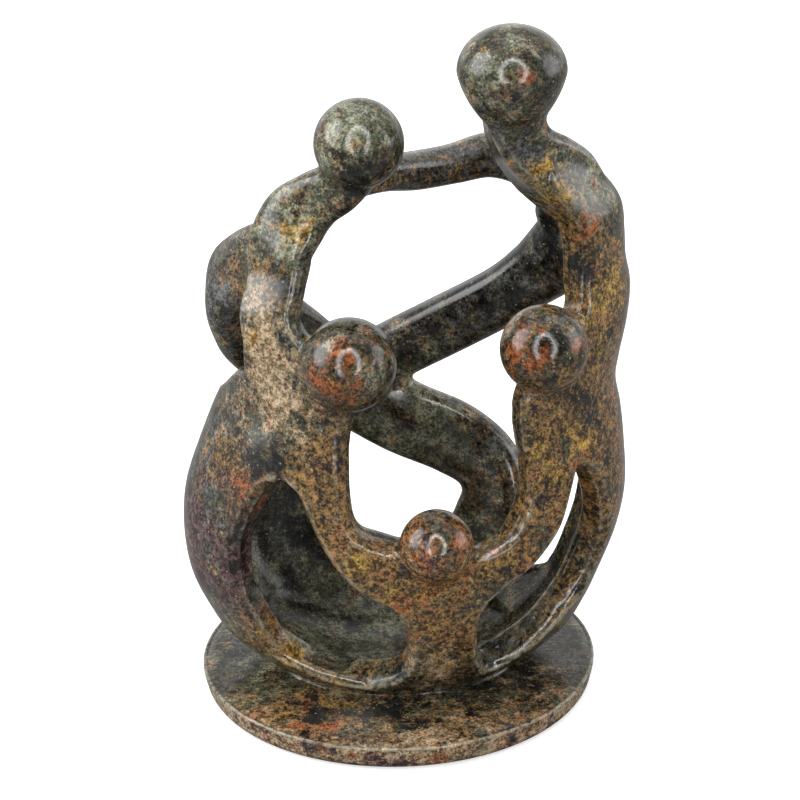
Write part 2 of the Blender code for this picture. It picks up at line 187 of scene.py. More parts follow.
# Stains in the stone, by colour: place and spread in millimetres, and strength
STAINS = {
    "grey": (
        (-60, -12, 165, 30, 0.9), (20, 40, 140, 40, 0.8), (60, 36, 170, 30, 0.8),
        (41, 38, 84, 12, 0.9), (8, -9, 208, 14, 0.6), (23, 10, 209, 13, 1),
        (50, 10, 205, 18, 1), (44, -30, 226, 15, 0.9), (62, -18, 214, 13, 0.8),
        (32, -38, 250, 9, 0.5), (-74, -9, 93, 18, 0.8), (-72, -23, 79, 14, 0.5),
        (-67, -29, 57, 14, 0.6), (-58, -20, 119, 11, 0.7), (-34, -26, 193, 12, 0.5),
        (62, -3, 10, 26, 0.5), (-62, 3, 10, 14, 0.5), (57, -49, 165, 6, 0.9),
        (15, -49, 36, 9, 0.7), (45, -49, 72, 8, 0.6), (-40, 50, 60, 45, 0.7),
        (-20, 30, 200, 12, 0.6)),
    "green": (
        (-12, -34, 239, 14, 1), (-20, -36, 232, 13, 0.9), (-36, -27, 197, 13, 1),
        (-45, -24, 185, 11, 0.9), (70, -22, 206, 12, 0.9), (32, -40, 252, 10, 0.7),
        (45, -37, 261, 12, 0.5), (-7, -61, 153, 7, 0.9), (10, 39, 98, 20, 0.9),
        (26, 42, 88, 14, 0.6), (-11, 14, 14, 30, 0.8), (-32, -10, 16, 22, 0.8),
        (-48, 8, 42, 20, 0.7), (-33, -45, 120, 10, 0.6), (16, -55, 60, 6, 0.5),
        (-32, -37, 159, 7, 0.6), (-54, -30, 112, 9, 0.5), (76, -12, 190, 12, 0.5),
        (30, 30, 30, 22, 0.5)),
    "brown": (
        (-48, -26, 174, 13, 0.8), (75, -25, 138, 20, 1), (68, -33, 115, 20, 1),
        (72, -27, 163, 18, 0.9), (66, -26, 188, 14, 0.7), (75, -24, 84, 20, 1),
        (61, -18, 48, 16, 0.8), (-12, -55, 86, 18, 1), (-8, -57, 73, 15, 1),
        (8, -56, 66, 17, 0.9), (12, -53, 47, 18, 1), (30, -54, 70, 16, 0.9),
        (50, -47, 90, 16, 1), (-13, -39, 11, 14, 0.6), (22, -55, 10, 16, 0.45),
        (-40, -55, 9, 20, 0.7), (0, -74, 5, 22, 0.6), (44, -59, 9, 22, 0.6),
        (-28, -47, 108, 16, 0.8), (72, 20, 130, 34, 0.7), (40, 52, 60, 25, 0.5),
        (-50, -33, 38, 12, 0.8), (59, -55, 145, 7, 0.8), (-60, -30, 104, 12, 0.7),
        (-9, -43, 221, 8, 0.4), (-30, -42, 20, 12, 0.8), (40, 10, 12, 34, 0.3)),
    "beige": (
        (-46, -34, 162, 7, 0.8), (-47, -35, 151, 8, 1), (-44, -38, 141, 9, 1),
        (-38, -41, 132, 8, 0.9), (-31, -45, 122, 6, 0.6), (-21, -57, 161, 4, 0.9),
        (2, -74, 5, 14, 0.8), (-24, -71, 4, 12, 0.6), (34, -67, 4, 12, 0.6), (3, 40, 104, 4, 0.8),
        (-13, -30, 231, 5, 0.3), (10, -65, 87, 3, 0.8), (-45, -60, 5, 10, 0.6),
        (52, -54, 5, 9, 0.5), (14, -74, 4, 12, 0.5), (-55, -31, 112, 5, 0.5),
        (-40, -26, 186, 5, 0.4), (11, -45, 23, 9, 0.6), (12, -50, 36, 9, 0.4)),
    "gold": (
        (55, -30, 214, 6, 0.9), (58, -28, 207, 7, 0.9), (80, -18, 177, 8, 0.9),
        (77, -24, 166, 9, 0.9), (72, -28, 162, 7, 0.7), (72, -28, 152, 9, 0.7),
        (67, -35, 113, 10, 0.8), (60, -42, 108, 9, 0.8), (-25, -30, 205, 7, 0.5),
        (-31, -31, 192, 7, 0.7), (-35, -36, 170, 5, 1), (-25, -42, 142, 5, 0.8),
        (-27, -40, 154, 5, 0.7), (-25, -35, 21, 5, 1), (-40, -33, 27, 5, 0.9),
        (7, -57, 65, 6, 1), (6, -56, 59, 5, 0.9), (30, -54, 71, 6, 0.9), (-33, -46, 10, 8, 0.9),
        (-18, -52, 10, 8, 0.7), (-50, -53, 10, 5, 0.7), (-16, -63, 147, 5, 0.7),
        (33, -34, 260, 5, 0.6), (-23, -35, 225, 4, 0.6), (-50, -33, 152, 3.5, 0.9),
        (0, -54, 95, 5, 0.5), (50, -46, 100, 5, 0.7), (-10, -55, 80, 8, 0.6),
        (40, -52, 80, 8, 0.6), (14, -53, 40, 8, 0.3), (-56, -31, 115, 4, 0.5)),
    "rust": (
        (48, -43, 253, 4, 0.8), (64, -26, 195, 6, 0.6), (71, -25, 196, 6, 0.8),
        (-23, -60, 155, 8, 1), (-14, -61, 158, 5, 1), (-16, -63, 147, 8, 0.9),
        (-5, -56, 159, 4, 0.7), (45, -54, 156, 7, 1), (50, -55, 159, 5, 1),
        (45, -54, 149, 7, 0.9), (64, -52, 157, 4, 1), (14, -65, 89, 6, 0.7),
        (23, -62, 87, 5, 0.9), (-55, -33, 104, 9, 0.45), (-65, -23, 101, 8, 0.4),
        (-47, -39, 96, 7, 0.7), (-54, -36, 89, 4, 0.6), (37, -51, 77, 4, 0.6),
        (44, -59, 10, 7, 0.6), (48, -57, 7, 8, 0.7), (0, -42, 20, 6, 0.5), (-30, -68, 5, 14, 0.6),
        (20, -72, 5, 14, 0.5), (76, -24, 124, 9, 0.5), (-18, 24, 20, 5, 0.3),
        (-45, -34, 45, 6, 0.5), (70, -28, 185, 14, 0.35), (72, -26, 105, 22, 0.3),
        (0, -55, 75, 24, 0.3), (45, -52, 80, 18, 0.35), (12, -52, 44, 14, 0.3),
        (-35, -50, 10, 14, 0.35)),
    "aubergine": (
        (-59, -33, 92, 7, 0.8), (-59, -35, 68, 12, 1), (-64, -30, 58, 14, 0.9),
        (9, -66, 81, 8, 0.9), (-70, -24, 66, 16, 0.8), (-40, -63, 8, 9, 0.7),
        (-15, -73, 7, 10, 0.6), (48, -50, 60, 10, 0.4), (20, 38, 135, 26, 0.4),
        (-70, -15, 85, 12, 0.5)),
    "dark": (
        (70, -27, 178, 7, 1), (-36, -34, 176, 5, 0.9), (-9, -42, 218, 8, 0.9),
        (-13, -38, 206, 9, 0.7), (56, -40, 251, 7, 0.8), (20, 37, 90, 6, 0.3),
        (34, 36, 80, 7, 0.4), (71, -29, 122, 8, 0.8), (74, -24, 146, 7, 0.7),
        (57, -56, 157, 6, 0.9), (-5, -44, 11, 8, 0.9), (-54, -34, 117, 7, 0.8),
        (-47, -40, 107, 8, 0.7), (-40, -42, 115, 6, 0.7), (-24, -37, 152, 6, 0.6),
        (-56, -36, 80, 8, 0.6), (34, -34, 11, 18, 0.8), (-63, 3, 10, 13, 0.5),
        (-37, 32, 43, 26, 0.6), (50, 10, 40, 24, 0.7), (0, 45, 30, 30, 0.6),
        (-10, -40, 11, 16, 0.5), (62, 20, 11, 30, 0.4), (-30, -52, 11, 9, 0.7),
        (5, -50, 11, 10, 0.8), (70, -18, 58, 12, 0.6), (40, -53, 62, 6, 0.5),
        (20, -54, 84, 6, 0.4), (50, 30, 160, 20, 0.9), (56, 14, 172, 16, 0.9),
        (36, 42, 146, 18, 0.7), (18, 44, 134, 18, 0.5), (62, -38, 100, 6, 0.8),
        (76, -22, 100, 7, 0.7), (66, -34, 130, 6, 0.7), (80, -14, 158, 6, 0.7)),
}

# Deep and light tone of each colour in the stone
TONES = {
    "ground": ((0.006, 0.007, 0.005), (0.12, 0.108, 0.062)),
    "grey": ((0.018, 0.02, 0.022), (0.165, 0.175, 0.172)),
    "green": ((0.07, 0.078, 0.044), (0.44, 0.46, 0.32)),
    "brown": ((0.042, 0.025, 0.01), (0.47, 0.268, 0.094)),
    "beige": ((0.19, 0.125, 0.062), (0.72, 0.56, 0.36)),
    "gold": ((0.13, 0.07, 0.012), (0.78, 0.5, 0.12)),
    "rust": ((0.075, 0.019, 0.005), (0.52, 0.155, 0.04)),
    "aubergine": ((0.022, 0.013, 0.014), (0.21, 0.115, 0.11)),
    "dark": ((0.002, 0.003, 0.003), (0.03, 0.033, 0.03)),
}

# For each colour, in the order of painting: how much of the grain it takes in the middle of a
# stain and everywhere, how soft its edges are, and which parts of the noises it follows
GRAIN = {
    "grey": (0.72, 0.10, 0.26, (0, 0, 0)),
    "green": (0.72, 0.14, 0.26, (1, 1, 1)),
    "brown": (0.74, 0.13, 0.30, (2, 2, 2)),
    "beige": (0.86, 0.02, 0.32, (1, 0, 2)),
    "aubergine": (0.7, 0.05, 0.28, (2, 1, 0)),
    "gold": (0.52, 0.03, 0.22, (0, 2, 1)),
    "rust": (0.6, 0.04, 0.26, (1, 2, 0)),
    "dark": (0.66, 0.11, 0.24, (2, 0, 1)),
}

# How much more or less of a colour the rim of the base has, and where the rim starts and ends
RIM = {"beige": 0.9, "aubergine": 0.3, "rust": 0.2, "dark": -0.85}
RIM_FROM = 70
RIM_BLEND = 4
RIM_TOP = 9.4

# How fast a stain fades, and the bends per metre where painted edge highlight and painted corner
# shade begin and how far they grow
FADE = 0.6
EDGE_HIGHLIGHT_FROM = 118
EDGE_HIGHLIGHT_SPAN = 90
CORNER_SHADE_FROM = 60
CORNER_SHADE_SPAN = 300

# Noises in the stone from wide to tiny: scale, detail, roughness and the span that is stretched
NOISES = ((95, 5, 0.65, 0.32, 0.68), (380, 5, 0.72, 0.32, 0.68), (1150, 3, 0.65, 0.30, 0.70))

# Shares of the three noises in a stain's edge, and the span that is stretched
LEVEL_SHARES = (0.58, 0.26, 0.16)
LEVEL_SPAN = (0.22, 0.78)

# Shares of fine noise, tiny noise and cells in the body of the stone, and the span
BODY_SHARES = (0.45, 0.35, 0.2)
BODY_SPAN = (0.36, 0.70)

# Pits and flecks: cells per metre, distance over which one fades, share of the cells that have one
PIT = (900, (0.42, 0.22), (0.5, 0.62))
FLECK = (420, (0.2, 0.08), (0.55, 0.72))

# How strongly each detail shows, where the noise breaks up the painted edge highlight, and the tone
# of the painted shade in inner corners
FLECK_STRENGTH = 0.8
PIT_STRENGTH = 0.6
CORNER_SHADE_STRENGTH = 0.3
EDGE_HIGHLIGHT_STRENGTH = 0.75
EDGE_HIGHLIGHT_BREAKUP = (0.2, 0.7)
CORNER_SHADE_TONE = (0.004, 0.004, 0.003, 1)

# Polish: how much the stone bends light, how much fine and tiny noise change its dullness, and the
# strength, depth and shares of tiny and fine noise of its relief
REFRACTION = 1.56
DULL_SHARES = (0.08, 0.04)
RELIEF_STRENGTH = 0.35
RELIEF_DEPTH = 0.00012
RELIEF_SHARES = (0.35, 0.65)

# Point that the camera looks at
TARGET = (0.0028, 0, 0.115)

# Points along a side of the floor, and its tone in reflections and as the camera sees it
FLOOR_POINTS = 9
FLOOR_MIRRORED = (0.24, 0.24, 0.24, 1)
FLOOR_SEEN = (0.8, 0.8, 0.8, 1)

# Panels of the tent: direction, inner and outer angle in degrees, and the setting that lights it
PANELS = (
    ((-0.87, -0.11, 0.48), 20, 30, "left"),
    ((0.97, 0.08, 0.23), 14, 27, "right"))

# Where the tent brightens: rise towards the top, rise below which it shines behind the figure, and
# angles from the lens at which its back and its open front end
TOP_SPAN = (0.55, 0.98)
LOW_SPAN = (0.7, 0.3)
BACK_SPAN = (math.radians(95), math.radians(125))
FRONT_SPAN = (math.radians(40), math.radians(75))

# Ring round the lens: half angles across and upright, where it fades, and its gain in reflections
RING_ACROSS = math.radians(26)
RING_UPRIGHT = math.radians(36)
RING_FADE = (0.03, 0.09)
RING_GAIN = 0.9


def metre(name, description, default):
    """A length that a user can change."""
    return FloatProperty(name=name, description=description, default=default, min=0.0,
                         precision=4, subtype="DISTANCE", unit="LENGTH")


def tone(name, description, default):
    """A colour that a user can change."""
    return FloatVectorProperty(name=name, description=description, default=default, min=0.0,
                               max=1.0, size=3, subtype="COLOR")


def amount(name, description, default):
    """A brightness that a user can change."""
    return FloatProperty(name=name, description=description, default=default, min=0.0)


class CarvingSizes(bpy.types.PropertyGroup):
    figure_height: metre("Figure height", "From the top of the base to the father's crown", 0.255)
    base_diameter: metre("Base diameter", "Across the round base", 0.150)
    base_thickness: metre("Base thickness", "Height of the base at its rim", 0.010)
    base_dome: metre("Base dome", "How much the top of the base rises to its middle", 0.0012)
    base_rounding: metre("Base rounding", "Radius of the lower edge of the base", 0.005)
    base_bulge: metre("Base rim bulge", "How much the rim swells towards its top", 0.001)
    base_groove: metre("Base groove", "Depth of the fine groove along the rim", 0.0003)
    band_thickness: metre("Band thickness", "How thick the bands of stone are", 0.012)
    bevel: metre("Bevel", "Width of the narrow flats along the edges of the bands", 0.0024)
    bowl_lip: metre("Bowl lip", "Width of the lip of the bowl", 0.0042)
    father_head: metre("Father's head", "Across the father's head", 0.0386)
    mother_head: metre("Mother's head", "Across the mother's head", 0.0318)
    left_child_head: metre("Left child's head", "Across the left child's head", 0.0335)
    right_child_head: metre("Right child's head", "Across the right child's head", 0.0315)
    small_child_head: metre("Small child's head", "Across the smallest child's head", 0.0268)
    grain: metre("Carving grain", "How finely the stone is resolved", 0.0007)
    roughing: metre("Roughing grain", "How finely the rounded inner corners are resolved", 0.0016)
    easing: IntProperty(name="Easing", description="Passes that round the inner corners",
                        default=14)
    polishing: IntProperty(name="Polishing", description="Passes that soften every edge", default=1)
    facets: IntProperty(name="Facets", description="Triangles left on the figure", default=165000)


class StoneColours(bpy.types.PropertyGroup):
    # The fleck colour serves both the real pale grains and the painted highlight along outer edges
    fleck_and_glint: tone("Fleck", "The small pale grains", (0.42, 0.38, 0.27))
    roughness: FloatProperty(name="Roughness", description="How dull the polish is", default=0.11,
                             min=0.0, max=1.0, subtype="FACTOR")


for _colour, _pair in TONES.items():
    for _depth, _word, _value in zip(("low", "high"), ("deep", "light"), _pair):
        StoneColours.__annotations__[_colour + "_" + _depth] = tone(
            _colour.capitalize() + ", " + _word, "The " + _word + " tone of the " + _colour, _value)


class StudioSettings(bpy.types.PropertyGroup):
    distance: metre("Camera distance", "From the camera to the point that it looks at", 1.1)
    lens: FloatProperty(name="Lens", description="Focal length on a 36 mm wide film",
                        default=133.65, subtype="DISTANCE_CAMERA", unit="CAMERA")
    elevation: FloatProperty(name="Elevation", description="How far the camera looks down",
                             default=math.radians(23.5), subtype="ANGLE", unit="ROTATION")
    roll: FloatProperty(name="Roll", description="How far the camera is turned on its axis",
                        default=math.radians(-1.3), subtype="ANGLE", unit="ROTATION")
    floor_width: metre("Floor width", "Across the pale floor", 6.0)
    wall: amount("Wall", "Brightness of the tent's wall", 0.35)
    top: amount("Top", "Brightness of the tent's top", 1.0)
    left: amount("Left panel", "Extra brightness of the panel on the left", 4.5)
    right: amount("Right panel", "Extra brightness of the high right panel", 2.2)
    back: amount("Back", "Brightness of the tent behind the figure", 0.9)
    front: amount("Front", "Brightness of the tent's open front", 0.12)
    floor_glow: amount("Floor glow", "Light that comes through the floor", 0.6)
    ring: amount("Ring", "Brightness of the ring round the lens", 12.0)


def spline(values, positions, at):
    """Cubic curve through values at rising positions, its slope at each the mean of both sides."""
    values = np.asarray(values, float)
    slopes = np.gradient(values, positions, axis=0)
    at = np.clip(at, positions[0], positions[-1])
    k = np.clip(np.searchsorted(positions, at, side="right") - 1, 0, len(positions) - 2)
    span = positions[k + 1] - positions[k]
    t = (at - positions[k]) / span
    if values.ndim > 1:
        t = t[..., None]
        span = span[..., None]
    early = (1 + 2 * t) * (1 - t) ** 2 * values[k] + t * (1 - t) ** 2 * span * slopes[k]
    late = t ** 2 * (3 - 2 * t) * values[k + 1] - t ** 2 * (1 - t) * span * slopes[k + 1]
    return early + late


def on_block(bearing, height):
    """Point of the block's face: an ellipse at each height, run through by the bearing."""
    row = spline(BLOCK[:, 1:], BLOCK[:, 0], np.asarray(height, float))
    centre_x, half_width, centre_y, half_depth = np.moveaxis(row, -1, 0)
    turn = np.radians(bearing)
    x = centre_x + half_width * np.sin(turn)
    y = centre_y - half_depth * np.cos(turn)
    return np.stack([x, y, np.broadcast_to(height, x.shape)], -1)


def out_of_block(bearing, height):
    """Outward direction: the cross product of the steps round the block and up it."""
    step = 0.5
    around = on_block(bearing + step, height) - on_block(bearing - step, height)
    up = on_block(bearing, height + step) - on_block(bearing, height - step)
    outward = np.cross(around, up)
    return outward / np.linalg.norm(outward, axis=-1, keepdims=True)


def stations(rows):
    """Rows of numbers made into a smooth run of closely spaced rows."""
    rows = np.asarray(rows, float)
    places = np.arange(len(rows), dtype=float)
    return spline(rows, places, np.linspace(0, len(rows) - 1, STATIONS))


def round_section(half_width, half_depth, sharpness):
    """Superellipse: cosine and sine of one turn, each raised to two over the sharpness."""
    turn = np.linspace(0, 2 * math.pi, SECTION_POINTS, endpoint=False)
    across = np.sign(np.cos(turn)) * np.abs(np.cos(turn)) ** (2 / sharpness)
    deep = np.sign(np.sin(turn)) * np.abs(np.sin(turn)) ** (2 / sharpness)
    return half_width[:, None] * across, half_depth[:, None] * deep


def bevelled_section(half_width, half_depth, bevel):
    """Rectangle with its four corners cut off: straight runs between eight corners."""
    cut = np.minimum(bevel, BEVEL_LIMIT * np.minimum(half_width, half_depth))
    w, d = half_width, half_depth
    x = np.stack([w, w, w - cut, cut - w, -w, -w, cut - w, w - cut], -1)
    y = np.stack([cut - d, d - cut, d, d, d - cut, cut - d, -d, -d], -1)
    corner = np.repeat(np.arange(8), SIDE_STEPS)
    along = np.concatenate([np.arange(n) / n for n in SIDE_STEPS])
    after = (corner + 1) % 8
    across = x[:, corner] + (x[:, after] - x[:, corner]) * along
    deep = y[:, corner] + (y[:, after] - y[:, corner]) * along
    return across, deep


def skin(rings):
    """Faces over a run of rings, as whole arrays: four corners each, and one cap at either end."""
    length, size, _ = rings.shape
    index = np.arange(length * size).reshape(length, size)
    after = np.roll(index, -1, axis=1)
    quads = np.stack([index[:-1], after[:-1], after[1:], index[1:]], -1).reshape(-1, 4)
    return quads.tolist() + [index[0, ::-1].tolist(), index[-1].tolist()]


def mesh_of(name, forms):
    """One mesh from closed forms, each given by its points and faces, with faces outwards."""
    points = []
    faces = []
    count = 0
    for form_points, form_faces in forms:
        points.append(form_points)
        faces += [[corner + count for corner in face] for face in form_faces]
        count += len(form_points)
    mesh = bpy.data.meshes.new(name)
    mesh.from_pydata(np.concatenate(points).tolist(), [], faces)
    work = bmesh.new()
    work.from_mesh(mesh)
    bmesh.ops.recalc_face_normals(work, faces=work.faces)
    work.to_mesh(mesh)
    work.free()
    return mesh


class Carver:
    """Works out the closed forms of the figure from its sizes."""

    def __init__(self, sizes):
        self.sizes = sizes
        self.share = sizes.figure_height / DRAWN_HEIGHT
        self.foot = -0.5 * sizes.base_thickness / self.share
        self.wall = sizes.band_thickness / self.share
        self.bevel = sizes.bevel / self.share
        self.lip = sizes.bowl_lip / self.share
        self.forms = []

    def add(self, rings):
        """Turns shares into metres above the base and keeps the form."""
        points = rings.reshape(-1, 3) * self.share
        points[:, 2] += self.sizes.base_thickness
        self.forms.append((points, skin(rings)))

    def band(self, rows):
        """A bevelled section bent onto the block between two edges, its depth along the outward."""
        rows = stations(rows)
        edge = on_block(rows[:, 0], rows[:, 1]) - on_block(rows[:, 2], rows[:, 3])
        half_width = np.linalg.norm(edge, axis=1) / 2
        half_depth = self.wall * rows[:, 4] / 2
        across, deep = bevelled_section(half_width, half_depth, self.bevel)
        side = (across / half_width[:, None] + 1) / 2
        bearing = rows[:, 0, None] + (rows[:, 2] - rows[:, 0])[:, None] * side
        height = rows[:, 1, None] + (rows[:, 3] - rows[:, 1])[:, None] * side
        inset = half_depth[:, None] - deep
        self.add(on_block(bearing, height) - inset[..., None] * out_of_block(bearing, height))

    def sweep(self, middle, outward, across, deep):
        """A section carried along a path: across it to the side, and deep along the outward."""
        along = np.gradient(middle, axis=0)
        along /= np.linalg.norm(along, axis=1, keepdims=True)
        aside = np.cross(along, outward)
        aside /= np.linalg.norm(aside, axis=1, keepdims=True)
        outward = np.cross(aside, along)
        self.add(middle[:, None] + across[..., None] * aside[:, None]
                 + deep[..., None] * outward[:, None])

    def limb(self, rows, sharpness=2.6):
        """A superellipse along the block, set under its face, its broad side upright."""
        rows = stations(rows)
        outward = out_of_block(rows[:, 0], rows[:, 1])
        outward[:, 2] = 0
        outward /= np.linalg.norm(outward, axis=1, keepdims=True)
        middle = on_block(rows[:, 0], rows[:, 1]) - rows[:, 2, None] * outward
        self.sweep(middle, outward, *round_section(rows[:, 3], rows[:, 4], sharpness))

    def bar(self, rows, sharpness=None):
        """A section along free points, turned to a bearing; bevelled if no sharpness is given."""
        rows = stations(rows)
        facing = np.radians(rows[:, 5])
        outward = np.stack([np.sin(facing), -np.cos(facing), np.zeros(STATIONS)], -1)
        if sharpness is None:
            section = bevelled_section(rows[:, 3], rows[:, 4], 1.2 * self.bevel)
        else:
            section = round_section(rows[:, 3], rows[:, 4], sharpness)
        self.sweep(rows[:, :3], outward, *section)

    def bowl(self, lip, floor):
        """Outer face up the block, half a turn over the lip, then a round hollow to its floor."""
        lip = np.asarray(lip, float)
        bearing = np.linspace(-180, 180, BOWL_SEGMENTS, endpoint=False)
        rim = spline(lip[:, 1], lip[:, 0], bearing)
        aside = np.clip((np.abs(bearing) - LIP_THIN) / (LIP_FULL - LIP_THIN), 0, 1)
        width = (self.lip + (self.wall - self.lip) * aside ** 2 * (3 - 2 * aside))[:, None]
        climb = np.linspace(0, 1, BOWL_RINGS)[:, None]
        outer = on_block(bearing, self.foot + (rim - self.foot) * climb)
        turn = np.linspace(0, math.pi, BOWL_RINGS)[1:, None, None]
        over = (on_block(bearing, rim)
                - width / 2 * (1 - np.cos(turn)) * out_of_block(bearing, rim)
                + width / LIP_FLATNESS * np.sin(turn) * np.array([0, 0, 1]))
        fall = np.linspace(math.pi / 2, POLE_GAP, BOWL_RINGS)[1:, None]
        hollow = over[-1] * np.sin(fall)[..., None]
        hollow[..., 2] = floor + (over[-1, :, 2] - floor) * (1 - np.cos(fall))
        self.add(np.concatenate([outer, over, hollow]))

    def head(self, place, diameter, crown, chin, taper):
        """A ball: sine of the fall by cosine and sine of the turn, stretched and tapered below."""
        fall = np.linspace(POLE_GAP, math.pi - POLE_GAP, STATIONS)[:, None]
        turn = np.linspace(0, 2 * math.pi, SECTION_POINTS, endpoint=False)
        level = -np.cos(fall)
        girth = np.sin(fall) * (1 + taper * np.minimum(level, 0))
        rise = level * np.where(level > 0, crown, chin) + 0 * turn
        ball = np.stack([girth * np.cos(turn), girth * np.sin(turn), rise], -1)
        self.add(np.array(place, float) + diameter / 2 / self.share * ball)


def carve_figure(sizes):
    """All the forms of the figure, still overlapping."""
    carver = Carver(sizes)
    for rows in (CHILD_TRUNK, CHILD_ARMS, MOTHER_SIDE, FATHER_SIDE, LEFT_SIDE, RIGHT_SIDE):
        carver.band(rows)
    carver.bar(MOTHER_NECK, sharpness=3.0)
    carver.bar(FATHER_NECK)
    carver.bar(BRIDGE, sharpness=2.2)
    carver.limb(BACK_BAR)
    carver.limb(BACK_RIBBON)
    carver.bowl(BOWL_LIP, BOWL_FLOOR)
    for width, place, crown, chin, taper in HEADS:
        carver.head(place, getattr(sizes, width), crown, chin, taper)
    return mesh_of("figure", carver.forms)


def turned_base(sizes):
    """A profile turned round the upright: foot, rounded edge, swelling rim, groove and low dome."""
    radius = sizes.base_diameter / 2
    thick = sizes.base_thickness
    rounding = min(sizes.base_rounding, 0.8 * thick)
    foot = radius - sizes.base_bulge
    turn = np.linspace(0, math.pi / 2, 14)
    reach = foot - rounding * (1 - np.sin(turn))
    height = rounding * (1 - np.cos(turn))
    rise = np.linspace(0, 1, 10)[1:]
    side_height = rounding + (thick - RIM_DROP - rounding) * rise
    side_reach = foot + (radius - RIM_INSET - foot) * np.sin(rise * math.pi / 2)
    lip_reach = radius - np.array(EDGE_INSETS)
    lip_height = thick - np.array([EDGE_DROP, 0.0, sizes.base_groove, sizes.base_groove, 0.0])
    dome = np.linspace(1, CENTRE, 30)
    dome_reach = lip_reach[-1] * dome[1:]
    dome_height = thick + sizes.base_dome * (1 - dome[1:] ** 2)
    start = CENTRE * radius
    profile_reach = np.concatenate([[start], reach, side_reach, lip_reach, dome_reach])
    profile_height = np.concatenate([[0], height, side_height, lip_height, dome_height])
    around = np.linspace(0, 2 * math.pi, BASE_SEGMENTS, endpoint=False)
    rings = np.stack([profile_reach[:, None] * np.cos(around),
                      profile_reach[:, None] * np.sin(around),
                      profile_height[:, None] + 0 * around], -1)
    return mesh_of("base", [(rings.reshape(-1, 3), skin(rings))])


def put(name, mesh):
    """An object at the origin for a mesh whose place is in its points."""
    thing = bpy.data.objects.new(name, mesh)
    bpy.context.scene.collection.objects.link(thing)
    return thing


def finished(thing, name):
    """The mesh that an object's modifiers give, as a mesh of its own."""
    bpy.context.view_layer.update()
    graph = bpy.context.evaluated_depsgraph_get()
    mesh = bpy.data.meshes.new_from_object(thing.evaluated_get(graph))
    mesh.name = name
    return mesh


def read_points(mesh):
    """Points, normals and the two ends of every edge, as arrays."""
    points = np.empty((len(mesh.vertices), 3), np.float32)
    mesh.vertices.foreach_get("co", points.ravel())
    normals = np.empty((len(mesh.vertices), 3), np.float32)
    mesh.vertices.foreach_get("normal", normals.ravel())
    edges = np.empty((len(mesh.edges), 2), np.int32)
    mesh.edges.foreach_get("vertices", edges.ravel())
    return points.astype(float), normals.astype(float), edges


def spread(edges, values, count):
    """Mean over each point's neighbours: the sum along all edges over the number of edges."""
    ends = np.concatenate([edges[:, 0], edges[:, 1]])
    others = np.concatenate([edges[:, 1], edges[:, 0]])
    number = np.maximum(np.bincount(ends, minlength=count), 1)
    if values.ndim == 1:
        return np.bincount(ends, values[others], count) / number
    sums = [np.bincount(ends, values[others, k], count) for k in range(3)]
    return np.stack(sums, -1) / number[:, None]


def ease_corners(mesh, passes):
    """Moves a point towards its neighbours' mean if that lies outside it, so only hollows fill."""
    for _ in range(passes):
        points, normals, edges = read_points(mesh)
        pull = spread(edges, points, len(points)) - points
        outside = np.einsum("ij,ij->i", pull, normals)
        share = np.clip(outside / FULL_PULL, 0, 1)[:, None] * PULL_SHARE
        write_points(mesh, points + share * pull)


def write_points(mesh, points):
    """Gives a mesh's points new places."""
    mesh.vertices.foreach_set("co", points.astype(np.float32).ravel())
    mesh.update()


def settle_in_box(mesh):
    """Keeps the figure in the solid's box: an overshoot is taken off as a square of the depth."""
    points, _, _ = read_points(mesh)
    for axis in range(3):
        for side, limit in ((-1, CAD_BOX[0][axis]), (1, CAD_BOX[1][axis])):
            past = side * (points[:, axis] - limit) + BOX_MARGIN
            over = past.max() - BOX_MARGIN + BOX_GAP
            if over > 0:
                cut = over * np.clip(past / past.max(), 0, None) ** 2
                points[:, axis] -= side * cut
    write_points(mesh, points)


def resolved(thing, voxel, passes):
    """The union of an object's closed forms as one even skin, its edges softened in passes."""
    remesh = thing.modifiers.new("resolve", "REMESH")
    remesh.mode = "VOXEL"
    remesh.voxel_size = voxel
    polish = thing.modifiers.new("polish", "SMOOTH")
    polish.factor = 0.5
    polish.iterations = passes
    mesh = finished(thing, thing.name)
    bpy.data.objects.remove(thing)
    return mesh


def drop_slivers(mesh):
    """Cuts faces into triangles and drops any two that lie back to back on the same points."""
    work = bmesh.new()
    work.from_mesh(mesh)
    bmesh.ops.triangulate(work, faces=work.faces)
    sharing = {}
    for face in work.faces:
        sharing.setdefault(frozenset(vert.index for vert in face.verts), []).append(face)
    slivers = [face for pair in sharing.values() if len(pair) > 1 for face in pair]
    bmesh.ops.delete(work, geom=slivers, context="FACES")
    work.to_mesh(mesh)
    work.free()


def bend_of(mesh):
    """Curvature of each point, per metre: mean change of normal along its edges over length."""
    points, normals, edges = read_points(mesh)
    run = points[edges[:, 1]] - points[edges[:, 0]]
    turn = normals[edges[:, 1]] - normals[edges[:, 0]]
    bend = np.einsum("ij,ij->i", turn, run) / np.maximum(np.einsum("ij,ij->i", run, run), 1e-12)
    count = len(points)
    number = np.maximum(np.bincount(edges.ravel(), minlength=count), 1)
    mean = (np.bincount(edges[:, 0], bend, count) + np.bincount(edges[:, 1], bend, count)) / number
    for _ in range(2):
        mean = 0.5 * mean + 0.5 * spread(edges, mean, count)
    return mean


def add_layer(mesh, name, values):
    """Keeps one number per point in the mesh, for the stone's shader."""
    layer = mesh.attributes.new(name, "FLOAT", "POINT")
    layer.data.foreach_set("value", values.astype(np.float32))


